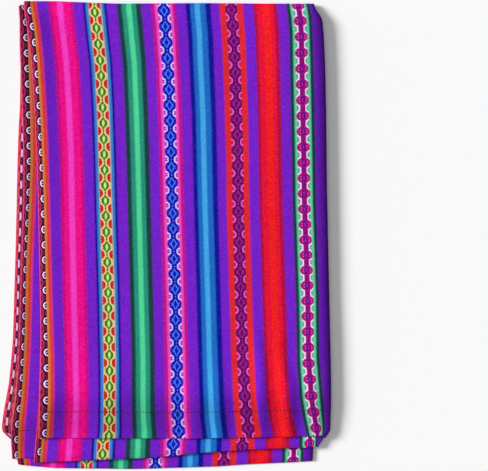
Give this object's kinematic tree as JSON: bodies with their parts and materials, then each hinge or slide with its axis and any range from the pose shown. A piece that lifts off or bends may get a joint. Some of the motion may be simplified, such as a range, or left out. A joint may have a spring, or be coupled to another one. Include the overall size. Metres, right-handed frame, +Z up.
{
  "type": "folded aguayo carrying cloth",
  "caption": "Striped warp-faced carrying cloth with hemmed ends, folded in half lengthwise and once across, lying flat in four layers.",
  "frame": {"origin": "centre of the plan of the folded cloth, on the surface that it lies on", "axes": "+X to the lengthwise fold, +Y to the crosswise fold, +Z up from the surface"},
  "size_m": [0.6582, 0.9285, 0.0221],
  "materials": {
    "striped_weave": "warp-faced acrylic weave, purple ground with pink, green, blue and red stripes and patterned bands, slightly satin"
  },
  "bodies": {
    "root": {"folded_cloth": "striped_weave"}
  },
  "joints": []
}
